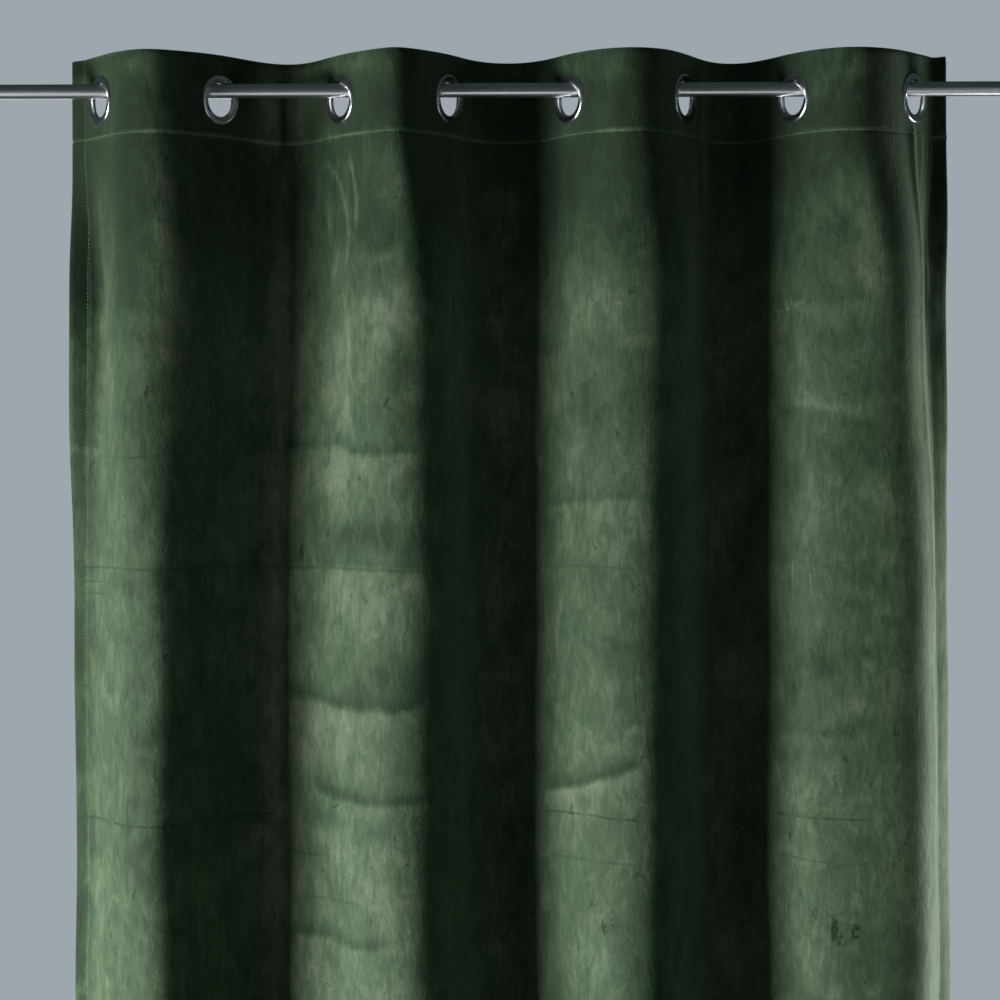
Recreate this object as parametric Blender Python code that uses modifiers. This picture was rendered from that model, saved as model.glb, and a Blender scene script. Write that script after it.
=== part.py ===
"""Velvet eyelet curtain hanging on a plain round rod.

The frame: metres, +Z up, +X to the right along the rod, +Y away from the room towards the wall.
The origin is the middle of the rod's axis. The rod threads eight metal eyelets, so the cloth
crosses the rod eight times and hangs in four folds towards the room and three towards the wall.

The cloth never stretches: at every height the length of cloth between two crossings is the eyelet
pitch, and that length sets how deep each fold is. Lengths in the tables are in millimetres.
"""
import math

import bmesh
import bpy
import numpy as np

MM = 0.001

# ---- the cut cloth ---------------------------------------------------------------------------
CLOTH_WIDTH = 1400.0
CLOTH_DROP = 2450.0
CLOTH_THICK = 1.5           # one layer of velvet with its pile
HEADING_DEPTH = 90.0        # doubled strip that holds the eyelets
SIDE_HEM = 22.0
BOTTOM_HEM = 80.0
HEM_STEP = 3.0              # width over which a doubled strip thins to one layer
DOUBLED = 2.0               # layers in a hem and in the heading
EDGE_MARGIN = 59.5          # cloth from a side edge to the nearest eyelet's centre
TOP_ABOVE_ROD = 38.0        # top edge above the rod's axis, at an eyelet
TOP_DROOP = 2.0             # how far the top edge sinks between two eyelets

# ---- the rod ---------------------------------------------------------------------------------
ROD_DIAMETER = 16.0
ROD_LENGTH = 1200.0
ROD_CHAMFER = 1.0
ROD_SIDES = 48

# ---- the eyelets -----------------------------------------------------------------------------
EYELET_COUNT = 8
EYELET_RADIUS = 27.0
RIDGE_RADIUS = 23.6
RIDGE_HEIGHT = 3.5          # half of the eyelet's thickness, at its rounded ridge
SHOULDER_RADIUS = 26.2
SHOULDER_HEIGHT = 2.9
FUNNEL_RADIUS = 20.0
FUNNEL_HEIGHT = 2.6
BORE_RADIUS = 18.0
BORE_HALF_RUN = 0.9         # half of the straight run inside the bore
NECK_RADIUS = 20.6          # outside of the tube that passes through the cloth
HOLE_RADIUS = 21.2          # hole punched in the cloth
SEAT_GAP = 0.3              # between an eyelet and what it touches
EYELET_STEPS = 24
HOLE_SIDES = 24
EYELET_SEAT = 29.0          # the cloth is flat this far from an eyelet's centre

# ---- how the cloth hangs ---------------------------------------------------------------------
# A level is a height at which the plan of the folds is known; the folds blend between levels.
#            name       below rod
LEVELS = (
    ("rod",        45.0),
    ("upper",     230.0),
    ("lower",     560.0),
    ("hem",      2412.0),
)
# Each crossing at each level: its place along the rod, the cloth's slope to the rod there, and
# the straight run of cloth on each side of it. The run at the rod is the eyelet's flat seat.
#     rod                  upper                lower                hem
#     X       slope  run   X       slope  run   X       slope  run   X       slope  run
CROSSINGS = (
    (-432.5,  57.5,  29,   -423.5,  72.0,  10,  -430.0,  63.0,  10,  -434.0,  60.0,  10),
    (-303.5,  49.0,  29,   -303.0,  60.0,  12,  -311.0,  58.0,  14,  -306.0,  56.0,  14),
    (-171.3,  54.7,  29,   -174.0,  56.0,  14,  -181.0,  48.0,  36,  -177.0,  52.0,  20),
    ( -54.6,  57.9,  29,    -48.0,  74.0,   8,   -47.0,  71.0,  10,   -46.0,  61.0,  14),
    (  77.6,  56.7,  29,     76.0,  56.0,  14,    72.0,  54.0,  18,    77.0,  55.0,  18),
    ( 201.7,  61.9,  29,    205.0,  75.0,   8,   201.0,  70.0,  10,   192.0,  62.0,  14),
    ( 321.4,  56.9,  29,    320.0,  54.0,  16,   318.0,  54.0,  16,   322.0,  54.0,  16),
    ( 451.5,  54.0,  29,    457.0,  76.0,   6,   469.0,  78.0,   6,   466.0,  62.0,  10),
)
# How far each fold leans to its right-hand crossing: 0.5 is even.
#     rod   upper  lower  hem
FOLD_LEANS = (
    (0.50,  0.42,  0.40,  0.48),
    (0.36,  0.38,  0.44,  0.48),
    (0.50,  0.62,  0.57,  0.52),
    (0.48,  0.46,  0.50,  0.52),
    (0.43,  0.56,  0.55,  0.50),
    (0.64,  0.60,  0.56,  0.52),
    (0.58,  0.72,  0.72,  0.56),
)
# The strips outside the end crossings: straight run, then a turn of a length to the slope at the
# edge, then straight on.
#     rod                   upper                 lower                 hem
#     run   turn  slope     run   turn  slope     run   turn  slope     run   turn  slope
SIDE_STRIPS = {
    "left": (
        (29.0, 30.0,  34.0), (14.0, 18.0, -12.0), (14.0, 26.0,  40.0), (14.0, 30.0,  42.0)),
    "right": (
        (42.0,  8.0, -45.0), (28.0, 12.0,  15.0), (28.0, 14.0,  46.0), (16.0, 26.0,  48.0)),
}

# ---- mesh density ----------------------------------------------------------------------------
COLUMNS_PER_FOLD = 8        # on the bent stretch between two eyelets
BODY_ROWS = 13
BODY_ROW_GROWTH = 1.6       # rows start close under the heading and spread out further down
CURVE_SAMPLES = 48          # along each fold's curve
STRIP_STEPS = 120           # along each strip outside the end crossings
TANGENT_REACH = 2.0         # the cloth's direction is read between points this far either side
LENGTH_HALVINGS = 40        # of the search for a fold's handle length

EYELET_PITCH = (CLOTH_WIDTH - 2.0 * EDGE_MARGIN) / (EYELET_COUNT - 1)
EYELET_DROP = BORE_RADIUS - ROD_DIAMETER / 2.0 - SEAT_GAP
HEADING_THICK = CLOTH_THICK * DOUBLED

MATERIALS = {
    # name: (base colour, roughness, metallic)
    "velvet": ((0.030, 0.062, 0.030), 0.85, 0.0),
    "eyelet_metal": ((0.62, 0.62, 0.64), 0.28, 1.0),
    "rod_metal": ((0.55, 0.55, 0.57), 0.34, 1.0),
}


def clear_scene():
    for thing in list(bpy.data.objects):
        bpy.data.objects.remove(thing, do_unlink=True)


def new_collection(name):
    group = bpy.data.collections.new(name)
    bpy.context.scene.collection.children.link(group)
    return group


def principled(name):
    colour, roughness, metallic = MATERIALS[name]
    material = bpy.data.materials.new(name)
    material.use_nodes = True
    shader = material.node_tree.nodes["Principled BSDF"]
    shader.inputs["Base Color"].default_value = (*colour, 1.0)
    shader.inputs["Roughness"].default_value = roughness
    shader.inputs["Metallic"].default_value = metallic
    return material


def add_object(name, mesh, group, material=None):
    thing = bpy.data.objects.new(name, mesh)
    group.objects.link(thing)
    if material is not None:
        mesh.materials.append(material)
    return thing


def mesh_from(builder, name):
    mesh = bpy.data.meshes.new(name)
    builder.to_mesh(mesh)
    builder.free()
    return mesh


# ---- plan of the folds -----------------------------------------------------------------------

def between_levels(below_rod, values):
    """Blend a value given at each level to a height, softly from one level to the next."""
    heights = [level[1] for level in LEVELS]
    if below_rod <= heights[0]:
        return values[0]
    for index in range(1, len(heights)):
        if below_rod <= heights[index]:
            start, end = heights[index - 1], heights[index]
            share = (below_rod - start) / (end - start)
            share = share * share * (3.0 - 2.0 * share)
            return values[index - 1] + (values[index] - values[index - 1]) * share
    return values[-1]


def direction_at(slope_deg, index):
    """Direction of the cloth at a crossing: it leaves the first one towards the room, and so on
    by turns."""
    swing = -1.0 if index % 2 == 0 else 1.0
    slope = math.radians(slope_deg)
    return np.array([math.cos(slope), swing * math.sin(slope)])


def curve_length(points):
    steps = np.diff(points, axis=0)
    return float(np.hypot(steps[:, 0], steps[:, 1]).sum())


def fold_curve(start, start_dir, end, end_dir, cloth_length, lean):
    """One fold between two straight runs, with handles just long enough to use up the cloth."""
    share = np.linspace(0.0, 1.0, CURVE_SAMPLES + 1)[:, None]
    short, long = 0.0, cloth_length * 2.0
    for _ in range(LENGTH_HALVINGS):
        reach = (short + long) / 2.0
        first = start + start_dir * reach * 2.0 * (1.0 - lean)
        second = end - end_dir * reach * 2.0 * lean
        points = ((1 - share) ** 3 * start + 3 * share * (1 - share) ** 2 * first
                  + 3 * share ** 2 * (1 - share) * second + share ** 3 * end)
        if curve_length(points) < cloth_length:
            short = reach
        else:
            long = reach
    return points


def side_strip(crossing, direction, run, turn, end_slope):
    """The cloth outside an end crossing, walked outwards from that crossing."""
    outward = math.copysign(1.0, direction[0])
    start_angle = math.atan2(direction[1], direction[0] * outward)
    end_angle = math.radians(end_slope)
    step = EDGE_MARGIN / STRIP_STEPS
    points = [crossing]
    for index in range(STRIP_STEPS):
        share = min(max(((index + 0.5) * step - run) / turn, 0.0), 1.0)
        angle = start_angle + (end_angle - start_angle) * share
        points.append(points[-1] + np.array([outward * math.cos(angle), math.sin(angle)]) * step)
    return points


def plan_curve(below_rod):
    """Middle line of the cloth seen from above at one height, with the cloth length along it."""
    places = []
    directions = []
    runs = []
    for index, row in enumerate(CROSSINGS):
        places.append(np.array([between_levels(below_rod, row[0::3]), 0.0]))
        directions.append(direction_at(between_levels(below_rod, row[1::3]), index))
        runs.append(between_levels(below_rod, row[2::3]))
    strips = {}
    for side, rows in SIDE_STRIPS.items():
        strips[side] = [between_levels(below_rod, column) for column in zip(*rows)]
    points = side_strip(places[0], -directions[0], *strips["left"])[::-1]
    for index, leans in enumerate(FOLD_LEANS):
        start = places[index] + directions[index] * runs[index]
        end = places[index + 1] - directions[index + 1] * runs[index + 1]
        spare = EYELET_PITCH - runs[index] - runs[index + 1]
        lean = between_levels(below_rod, leans)
        bent = fold_curve(start, directions[index], end, directions[index + 1], spare, lean)
        points.extend(bent)
        points.append(places[index + 1])
    points.extend(side_strip(places[-1], directions[-1], *strips["right"])[1:])
    points = np.array(points)
    steps = np.diff(points, axis=0)
    along = np.concatenate(([0.0], np.cumsum(np.hypot(steps[:, 0], steps[:, 1]))))
    return points, along


def top_droop(across):
    """How far the cloth sinks at this place, between the eyelets that hold it."""
    share = (across - EDGE_MARGIN) / EYELET_PITCH
    if share <= 0.0 or share >= EYELET_COUNT - 1:
        return 0.0
    return TOP_DROOP * math.sin(math.pi * share) ** 2


# ---- the cloth -------------------------------------------------------------------------------

def column_places():
    """Distances across the cloth at which the mesh has a column."""
    run = EYELET_SEAT
    edge = [0.0, SIDE_HEM / 2.0, SIDE_HEM, SIDE_HEM + HEM_STEP, EDGE_MARGIN - run]
    places = list(edge)
    for index in range(EYELET_COUNT):
        centre = EDGE_MARGIN + index * EYELET_PITCH
        places += [centre - run / 2.0, centre, centre + run / 2.0]
        if index < EYELET_COUNT - 1:
            bend = EYELET_PITCH - 2.0 * run
            for step in range(COLUMNS_PER_FOLD + 1):
                places.append(centre + run + bend * step / COLUMNS_PER_FOLD)
    places += [CLOTH_WIDTH - place for place in reversed(edge)]
    return places


def row_places():
    """Distances down the cloth at which the mesh has a row."""
    eyelet_centre = TOP_ABOVE_ROD + EYELET_DROP
    places = [0.0, eyelet_centre / 2.0, eyelet_centre, HEADING_DEPTH - eyelet_centre / 3.0,
              HEADING_DEPTH]
    top = HEADING_DEPTH + HEM_STEP
    bottom = CLOTH_DROP - BOTTOM_HEM - HEM_STEP
    for row in range(BODY_ROWS + 1):
        places.append(top + (bottom - top) * (row / BODY_ROWS) ** BODY_ROW_GROWTH)
    places += [CLOTH_DROP - BOTTOM_HEM, CLOTH_DROP]
    return places


def is_doubled(across, down):
    in_heading = down <= HEADING_DEPTH
    in_side = across <= SIDE_HEM or across >= CLOTH_WIDTH - SIDE_HEM
    in_bottom = down >= CLOTH_DROP - BOTTOM_HEM
    return in_heading or in_side or in_bottom


def front_line(below_rod, columns):
    """Front of the cloth at one height: its middle line pushed out by half of a doubled layer."""
    points, along = plan_curve(below_rod)
    middle = np.column_stack([np.interp(columns, along, points[:, axis]) for axis in (0, 1)])
    reach = TANGENT_REACH
    ahead = np.column_stack([np.interp(columns + reach, along, points[:, axis]) for axis in (0, 1)])
    behind = np.column_stack([np.interp(columns - reach, along, points[:, axis]) for axis in (0, 1)])
    tangent = ahead - behind
    tangent /= np.hypot(tangent[:, 0], tangent[:, 1])[:, None]
    normal = np.column_stack((tangent[:, 1], -tangent[:, 0]))
    return middle + normal * HEADING_THICK / 2.0


def build_panel(group, cutters, material):
    columns = np.array(column_places())
    rows = row_places()
    builder = bmesh.new()
    bmesh.ops.create_grid(builder, x_segments=len(columns) - 1, y_segments=len(rows) - 1, size=1.0)
    builder.verts.ensure_lookup_table()
    doubled = []
    for row, down in enumerate(rows):
        line = front_line(down - TOP_ABOVE_ROD, columns)
        for column, across in enumerate(columns):
            vert = builder.verts[row * len(columns) + column]
            height = TOP_ABOVE_ROD - down - top_droop(across)
            vert.co = (line[column][0] * MM, line[column][1] * MM, height * MM)
            if is_doubled(across, down):
                doubled.append(vert.index)
    bmesh.ops.reverse_faces(builder, faces=builder.faces[:])
    panel = add_object("panel", mesh_from(builder, "panel"), group, material)
    hems = panel.vertex_groups.new(name="doubled")
    hems.add(doubled, 1.0, "REPLACE")
    thicken = panel.modifiers.new("cloth_thickness", "SOLIDIFY")
    thicken.thickness = HEADING_THICK * MM
    thicken.offset = -1.0
    thicken.use_even_offset = True
    thicken.vertex_group = "doubled"
    thicken.thickness_vertex_group = 1.0 / DOUBLED
    punch = panel.modifiers.new("eyelet_holes", "BOOLEAN")
    punch.operation = "DIFFERENCE"
    punch.object = build_hole_cutter(cutters)
    panel.data.shade_smooth()
    return panel


def eyelet_placement(index):
    """Centre of an eyelet and its turn about the vertical, square to the cloth."""
    along_rod, slope = CROSSINGS[index][:2]
    turn = math.radians(slope) * (-1.0 if index % 2 == 0 else 1.0)
    return (along_rod * MM, 0.0, -EYELET_DROP * MM), (math.radians(90.0), 0.0, turn)


def build_hole_cutter(cutters):
    """Eight punches as one mesh, each square to the cloth at its eyelet."""
    builder = bmesh.new()
    for index in range(EYELET_COUNT):
        centre, turn = eyelet_placement(index)
        punch = bmesh.new()
        bmesh.ops.create_cone(punch, cap_ends=True, segments=HOLE_SIDES, radius1=HOLE_RADIUS * MM,
                              radius2=HOLE_RADIUS * MM, depth=4.0 * HEADING_THICK * MM)
        mesh = mesh_from(punch, "punch")
        holder = bpy.data.objects.new("punch", mesh)
        holder.location = centre
        holder.rotation_euler = turn
        mesh.transform(holder.matrix_basis)
        builder.from_mesh(mesh)
        bpy.data.objects.remove(holder)
        bpy.data.meshes.remove(mesh)
    cutter = add_object("hole_cutter", mesh_from(builder, "hole_cutter"), cutters)
    cutter.hide_render = True
    cutter.display_type = "WIRE"
    return cutter


# ---- the hard pieces -------------------------------------------------------------------------

def eyelet_profile():
    """Half section of an eyelet, walked down its outer side and back up through the bore."""
    groove = HEADING_THICK / 2.0 + SEAT_GAP
    upper = [
        (FUNNEL_RADIUS, FUNNEL_HEIGHT),
        (RIDGE_RADIUS, RIDGE_HEIGHT),
        (SHOULDER_RADIUS, SHOULDER_HEIGHT),
        (EYELET_RADIUS, groove),
        (NECK_RADIUS, groove),
    ]
    lower = [(radius, -height) for radius, height in reversed(upper)]
    bore = [(BORE_RADIUS, -BORE_HALF_RUN), (BORE_RADIUS, BORE_HALF_RUN)]
    return upper + lower + bore


def build_eyelet(index, group, material):
    builder = bmesh.new()
    ring = [builder.verts.new((radius * MM, 0.0, height * MM)) for radius, height in eyelet_profile()]
    for start, end in zip(ring, ring[1:] + ring[:1]):
        builder.edges.new((start, end))
    name = f"eyelet_{index + 1}"
    eyelet = add_object(name, mesh_from(builder, name), group, material)
    eyelet.location, eyelet.rotation_euler = eyelet_placement(index)
    turned = eyelet.modifiers.new("turned", "SCREW")
    turned.angle = math.tau
    turned.steps = EYELET_STEPS
    turned.render_steps = EYELET_STEPS
    turned.use_merge_vertices = True
    turned.merge_threshold = 0.0001
    turned.use_smooth_shade = True
    return eyelet


def build_rod(group, material):
    builder = bmesh.new()
    radius = ROD_DIAMETER / 2.0 * MM
    bmesh.ops.create_cone(builder, cap_ends=True, segments=ROD_SIDES, radius1=radius, radius2=radius,
                          depth=ROD_LENGTH * MM)
    rod = add_object("rod", mesh_from(builder, "rod"), group, material)
    rod.rotation_euler = (0.0, math.radians(90.0), 0.0)
    ends = rod.modifiers.new("end_chamfer", "BEVEL")
    ends.width = ROD_CHAMFER * MM
    ends.segments = 1
    ends.limit_method = "ANGLE"
    ends.angle_limit = math.radians(60.0)
    rod.data.shade_smooth()
    rod.data.set_sharp_from_angle(angle=math.radians(40.0))
    return rod


def main():
    clear_scene()
    curtain = new_collection("velvet_eyelet_curtain_on_a_rod")
    cutters = new_collection("cutters")
    materials = {name: principled(name) for name in MATERIALS}
    pieces = [build_rod(curtain, materials["rod_metal"])]
    pieces += [build_eyelet(index, curtain, materials["eyelet_metal"]) for index in range(EYELET_COUNT)]
    pieces.append(build_panel(curtain, cutters, materials["velvet"]))
    middle = bpy.data.objects.new("rod_middle", None)
    curtain.objects.link(middle)
    for piece in pieces:
        piece.parent = middle


main()
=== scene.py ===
"""Looks of the velvet eyelet curtain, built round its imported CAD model.

The frame is the CAD's: +Z up, +X right along the rod, +Y towards the wall, the origin in the middle
of the rod's axis. The velvet is one thin sheet on the folds of the CAD panel. Its plan is worked out
again from the same named sizes, in millimetres, and its creases are laid on it one by one. "Across"
and "down" run along the cloth from its left and top edges. "Seen" places are what the camera sees
against the rod's plane: right of the rod's middle, and below its axis.
"""
import math

import bmesh
import bpy
import numpy as np
from mathutils import Euler, Matrix, Vector


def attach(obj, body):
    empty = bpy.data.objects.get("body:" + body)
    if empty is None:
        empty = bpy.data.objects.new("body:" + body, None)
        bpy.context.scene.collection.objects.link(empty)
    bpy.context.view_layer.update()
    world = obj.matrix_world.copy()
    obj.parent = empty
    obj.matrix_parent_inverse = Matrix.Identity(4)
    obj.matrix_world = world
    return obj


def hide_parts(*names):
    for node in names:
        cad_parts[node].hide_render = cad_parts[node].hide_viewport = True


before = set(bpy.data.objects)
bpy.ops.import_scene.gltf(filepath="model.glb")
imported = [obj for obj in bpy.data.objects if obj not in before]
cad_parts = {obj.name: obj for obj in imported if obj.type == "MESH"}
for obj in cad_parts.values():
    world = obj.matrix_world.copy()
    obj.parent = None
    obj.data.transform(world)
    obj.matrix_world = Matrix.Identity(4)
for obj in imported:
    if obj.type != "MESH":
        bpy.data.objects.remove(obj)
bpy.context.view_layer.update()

MM = 0.001

# ---- the cut cloth, as in the CAD ----
CLOTH_WIDTH = 1400.0
CLOTH_DROP = 2450.0
CLOTH_THICK = 1.5
DOUBLED_THICK = 3.0  # two layers, in the heading and the hems
HEADING_DEPTH = 90.0
SIDE_HEM = 22.0
BOTTOM_HEM = 80.0
HEM_STEP = 1.2  # width over which a folded-over layer ends
EDGE_MARGIN = 59.5
TOP_ABOVE_ROD = 38.0
TOP_DROOP = 2.0

# ---- rod and eyelets, as in the CAD ----
ROD_RADIUS = 8.0
ROD_LENGTH = 1200.0
EYELET_COUNT = 8
EYELET_RADIUS = 27.0
EYELET_GROOVE = 1.8  # half of the slot that grips the cloth
BORE_RADIUS = 18.0
HOLE_RADIUS = 21.2
NECK_RADIUS = 20.6
SEAT_GAP = 0.3

# ---- how the cloth hangs, as in the CAD ----
LEVELS = (45.0, 230.0, 560.0, 2412.0)  # below the rod: at the rod, upper, lower and hem
#    rod               upper             lower             hem
#    X      slope run  X      slope run  X      slope run  X      slope run
CROSSINGS = (
    (-432.5, 57.5, 29, -423.5, 72.0, 10, -430.0, 63.0, 10, -434.0, 60.0, 10),
    (-303.5, 49.0, 29, -303.0, 60.0, 12, -311.0, 58.0, 14, -306.0, 56.0, 14),
    (-171.3, 54.7, 29, -174.0, 56.0, 14, -181.0, 48.0, 36, -177.0, 52.0, 20),
    ( -54.6, 57.9, 29,  -48.0, 74.0,  8,  -47.0, 71.0, 10,  -46.0, 61.0, 14),
    (  77.6, 56.7, 29,   76.0, 56.0, 14,   72.0, 54.0, 18,   77.0, 55.0, 18),
    ( 201.7, 61.9, 29,  205.0, 75.0,  8,  201.0, 70.0, 10,  192.0, 62.0, 14),
    ( 321.4, 56.9, 29,  320.0, 54.0, 16,  318.0, 54.0, 16,  322.0, 54.0, 16),
    ( 451.5, 54.0, 29,  457.0, 76.0,  6,  469.0, 78.0,  6,  466.0, 62.0, 10),
)
#    rod   upper lower hem
FOLD_LEANS = (
    (0.50, 0.42, 0.40, 0.48),
    (0.36, 0.38, 0.44, 0.48),
    (0.50, 0.62, 0.57, 0.52),
    (0.48, 0.46, 0.50, 0.52),
    (0.43, 0.56, 0.55, 0.50),
    (0.64, 0.60, 0.56, 0.52),
    (0.58, 0.72, 0.72, 0.56),
)
# Run, turn and slope of the strip of cloth outside the first crossing, and outside the last.
#     rod            upper          lower         hem
SIDE_STRIPS = (
    ((29, 30,  34), (14, 18, -12), (14, 26, 40), (14, 30, 42)),
    ((42,  8, -45), (28, 12,  15), (28, 14, 46), (16, 26, 48)),
)

CURVE_SAMPLES = 48
STRIP_STEPS = 120
TANGENT_REACH = 2.0
LENGTH_HALVINGS = 40
EYELET_PITCH = (CLOTH_WIDTH - 2.0 * EDGE_MARGIN) / (EYELET_COUNT - 1)
EYELET_DROP = BORE_RADIUS - ROD_RADIUS - SEAT_GAP
EYELET_DOWN = TOP_ABOVE_ROD + EYELET_DROP

# ---- camera ----
CAMERA_BACK = 3300.0  # in front of the rod's plane
CAMERA_BELOW = 445.7  # below the rod's axis
CAMERA_ROLL = 0.195  # degrees: the photo's rod rises a little to the right
LENS = 109.2
SENSOR = 36.0

# ---- mesh of the cloth ----
# Stretches of even steps: where each ends, and its largest step.
COLUMN_STRETCHES = (
    (18.0, 4.5), (26.0, 1.4), (392.0, 5.6), (478.0, 2.8), (1316.0, 5.6), (1374.0, 2.6), (1382.0, 1.4),
    (CLOTH_WIDTH, 4.5),
)
ROW_STRETCHES = (
    (82.0, 6.4), (94.0, 1.4), (260.0, 7.6), (1050.0, 10.6), (2360.0, 46.0), (2374.0, 2.0),
    (CLOTH_DROP, 19.0),
)
EDGE_NOSE = 0.45  # how far a folded edge is rounded out, of its thickness

# ---- creases ----
# Each crease is a line through seen places. Width is how far its slope reaches either side, and
# height is how far the cloth stands out, or sinks if negative. Pile is how much paler it is painted,
# or darker if negative: rubbed nap, painted highlight on ridges and painted shade in troughs.
RIDGE = ((448, 30), (450, 98), (455, 185), (456, 228), (458, 315), (465, 446), (468.5, 560))
#    width height pile, then seen places (right, below)
CREASES = (
    # the heading, its trough painted darker as painted shade
    ( 3.4, -2.2, -1.00, (-236, -30), (-235, 20), (-233, 60)),
    ( 7.0,  1.6,  0.00, (218, -34), (218, 40), (219, 130)),
    ( 3.8, -1.8, -0.50, (389, -46), (372, -6), (354, 38)),
    ( 2.5,  0.9,  0.45, (-460, 16), (-458, 54)),
    ( 2.5,  0.7,  0.30, (-452, 27), (-451, 54)),
    # pleats crushed in below the third eyelet
    ( 3.4,  1.2,  0.60, (-189, 70), (-170, 102), (-163, 137), (-161, 165), (-166, 202)),
    ( 3.2,  1.1,  0.65, (-162, 62), (-157, 93), (-153, 119), (-155, 156)),
    ( 3.2,  0.8,  0.40, (-183, 112), (-184, 162)),
    ( 3.4,  0.8,  0.45, (-168, 158), (-176, 188), (-184, 210)),
    ( 6.0,  0.8,  0.30, (-168, 214), (-161, 262), (-163, 320), (-168, 384)),
    ( 3.2, -1.0, -0.25, (-178, 76), (-176, 130), (-178, 168)),
    ( 2.8, -0.8, -0.25, (-160, 80), (-158, 130), (-158, 150)),
    ( 5.0,  0.6,  0.15, (-142, 150), (-124, 168), (-116, 196)),
    # pleats below the fifth and seventh eyelets
    ( 4.0,  0.8,  0.15, (72, 60), (74, 110), (70, 165)),
    ( 4.0, -0.8, -0.15, (84, 60), (86, 120), (83, 150)),
    ( 4.0,  0.9,  0.20, (316, 58), (318, 100), (314, 140)),
    ( 3.5, -0.8, -0.20, (326, 64), (328, 104), (327, 128)),
    # the sharp ridge below the last eyelet, painted paler as a painted highlight, and the small pleats
    # beside it
    ( 6.5,  2.4,  0.35, *RIDGE, (468.5, 700), (468, 900)),
    ( 3.0,  0.9,  0.50, *RIDGE),
    ( 3.5,  1.0,  0.20, (457, 36), (458, 70), (457, 110)),
    ( 3.5,  1.1,  0.25, (469, 34), (468, 80), (464, 150), (466, 230)),
    # fold marks from the packet, and cloth that sags against them
    ( 8.0,  0.9,  0.10, (-163, 236), (-130, 232), (-108, 238)),
    ( 8.0,  0.8,  0.10, (24, 232), (50, 238), (65, 234)),
    ( 7.0,  0.9,  0.30, (307, 238), (322, 232), (337, 228)),
    ( 8.0, -1.0, -0.05, (297, 345), (336, 349), (410, 362)),
    ( 8.0, -1.2, -0.10, (-234, 388), (-165, 390), (-76, 393)),
    ( 8.0, -0.9, -0.05, (-459, 518), (-400, 517), (-240, 518), (-78, 520)),
    ( 8.0, -0.9, -0.05, (49, 518), (100, 516), (153, 519)),
    ( 6.0, -0.9, -0.30, (457, 535), (478, 534)),
    ( 9.0, -1.6, -0.20, (-236, 659), (-192, 668), (-138, 671), (-100, 669), (-76, 656)),
    (10.0, -1.6, -0.20, (-201, 761), (-150, 769), (-76, 766)),
    ( 9.0, -1.7, -0.20, (45, 752), (90, 742), (130, 730), (160, 722)),
    ( 8.0, -0.9, -0.05, (-459, 793), (-300, 792), (50, 786), (200, 788), (405, 790)),
    ( 7.0, -0.9, -0.10, (-239, 829), (-194, 833)),
    ( 8.0, -0.7, -0.05, (55, 833), (100, 834), (152, 834)),
    ( 7.0, -0.7, -0.10, (-225, 880), (-163, 881)),
    ( 9.0, -1.3, -0.15, (-228, 920), (-185, 923), (-158, 930), (-114, 921)),
    ( 8.0, -0.6, -0.05, (321, 705), (359, 704)),
    # the unseen lower part has the same fold marks
    ( 6.0, -0.8, -0.15, (-450, 1180), (-360, 1184), (-120, 1178), (160, 1186), (460, 1180)),
    ( 6.0, -0.8, -0.15, (-455, 1610), (-200, 1604), (60, 1612), (460, 1606)),
    ( 6.0, -0.8, -0.15, (-455, 2010), (-160, 2016), (200, 2008), (462, 2014)),
)
CREASE_FADE = 18.0  # a crease dies away over this length at each end

# Fold marks: lines across the cloth above which painted shade darkens it and below which painted light
# makes it paler, or the other way round if negative; the pressed nap plays a part too.
#    reach  pile, then seen places (right, below)
FOLD_MARK_SHADES = (
    (26.0,  0.31, (-236, 386), (-170, 388), (-160, 397), (-104, 394), (-78, 392)),
    (30.0,  0.46, (-236, 659), (-206, 662), (-188, 669), (-136, 671), (-104, 670), (-90, 663),
     (-74, 655)),
    (24.0,  0.37, (-205, 762), (-174, 770), (-146, 773), (-74, 769)),
    (26.0,  0.34, (-230, 920), (-185, 923), (-158, 931), (-112, 921)),
    (36.0,  0.22, (-234, 517), (-160, 518), (-76, 521)),
    (24.0,  0.22, (48, 452), (98, 447), (154, 443)),
    (24.0,  0.46, (48, 766), (86, 756), (120, 742), (160, 727)),
    (30.0, -0.25, (296, 344), (336, 348), (372, 354), (412, 362)),
    (30.0,  0.19, (300, 700), (340, 704), (410, 694)),
    (30.0,  0.15, (300, 232), (360, 236), (410, 228)),
)
MARK_FADE = 16.0  # a mark dies away over this length at each end
MARK_CLOSE = 4.0  # how sharply it ends at its reach
MARK_MARGIN = 30.0  # how far beyond its ends its gap is still measured
FRONT_ONLY = ("mark_shade_pile", "line_shade_pile")

# Thin lines where the cloth was folded in its packet, painted dark if negative as painted shade in the
# creases, and pale if positive as a painted highlight on a ridge.
#    pile, then seen places (right, below)
FOLD_LINE_SHADES = (
    (-0.27, (-462, 518), (-410, 517), (-240, 518), (-76, 520)),
    (-0.18, (46, 518), (100, 516), (156, 519)),
    (-0.36, (455, 535), (482, 534)),
    (-0.42, (-462, 792), (-400, 792), (-330, 791), (-240, 790)),
    (-0.36, (44, 786), (100, 785), (158, 787)),
    (-0.33, (290, 789), (345, 790), (408, 789)),
    (-0.36, (-240, 828), (-215, 833), (-192, 832)),
    (-0.27, (52, 833), (100, 834), (154, 834)),
    (-0.18, (290, 832), (360, 838), (412, 836)),
    (-0.27, (-232, 880), (-190, 879), (-150, 881)),
    (-0.21, (-442, 396), (-395, 398), (-340, 391)),
    (-0.30, (-462, 547), (-425, 546)),
    (-0.24, (22, 234), (52, 234), (68, 233)),
    ( 0.38, (294, 241), (318, 238), (336, 230)),
    ( 0.20, (116, 231), (150, 236)),
)
LINE_REACH = 22.0

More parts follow.
